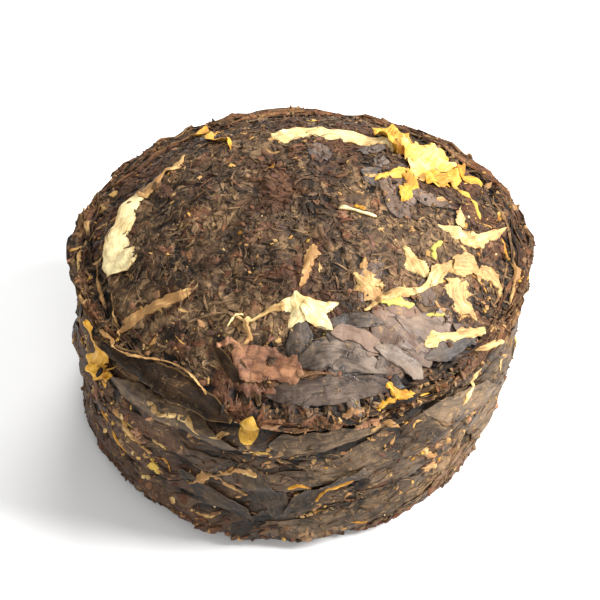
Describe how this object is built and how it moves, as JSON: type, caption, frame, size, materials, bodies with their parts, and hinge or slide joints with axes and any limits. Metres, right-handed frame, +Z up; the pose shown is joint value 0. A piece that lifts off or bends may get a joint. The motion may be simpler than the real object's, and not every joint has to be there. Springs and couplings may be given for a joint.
{
  "type": "pu-erh tuocha",
  "caption": "Small pressed tea nest: a shallow dome of matted dark leaf with pale scraps, a torn lip, a wrapped side wall and a flat foot with a hollow under it",
  "frame": {"origin": "in the plane of the foot, under the middle of the part's box", "axes": "+Z up through the dome, +X to the right and +Y away from the best side, which faces -Y"},
  "size_m": [0.0274, 0.027, 0.0179],
  "materials": {
    "pressed_leaf": "dark brown dry leaf, matted and pressed, matt with a faint sheen",
    "glossy_leaf": "smooth blackish leaf pressed flat, with a grey satin sheen",
    "rust_leaf": "rust-brown leaf and torn leaf edges, matt",
    "straw_scrap": "straw and cream leaf scraps and bud scales, papery and matt",
    "yellow_bloom": "golden yellow crumpled petals and flecks, matt"
  },
  "bodies": {
    "root": {"tuocha": "pressed_leaf"}
  },
  "joints": []
}
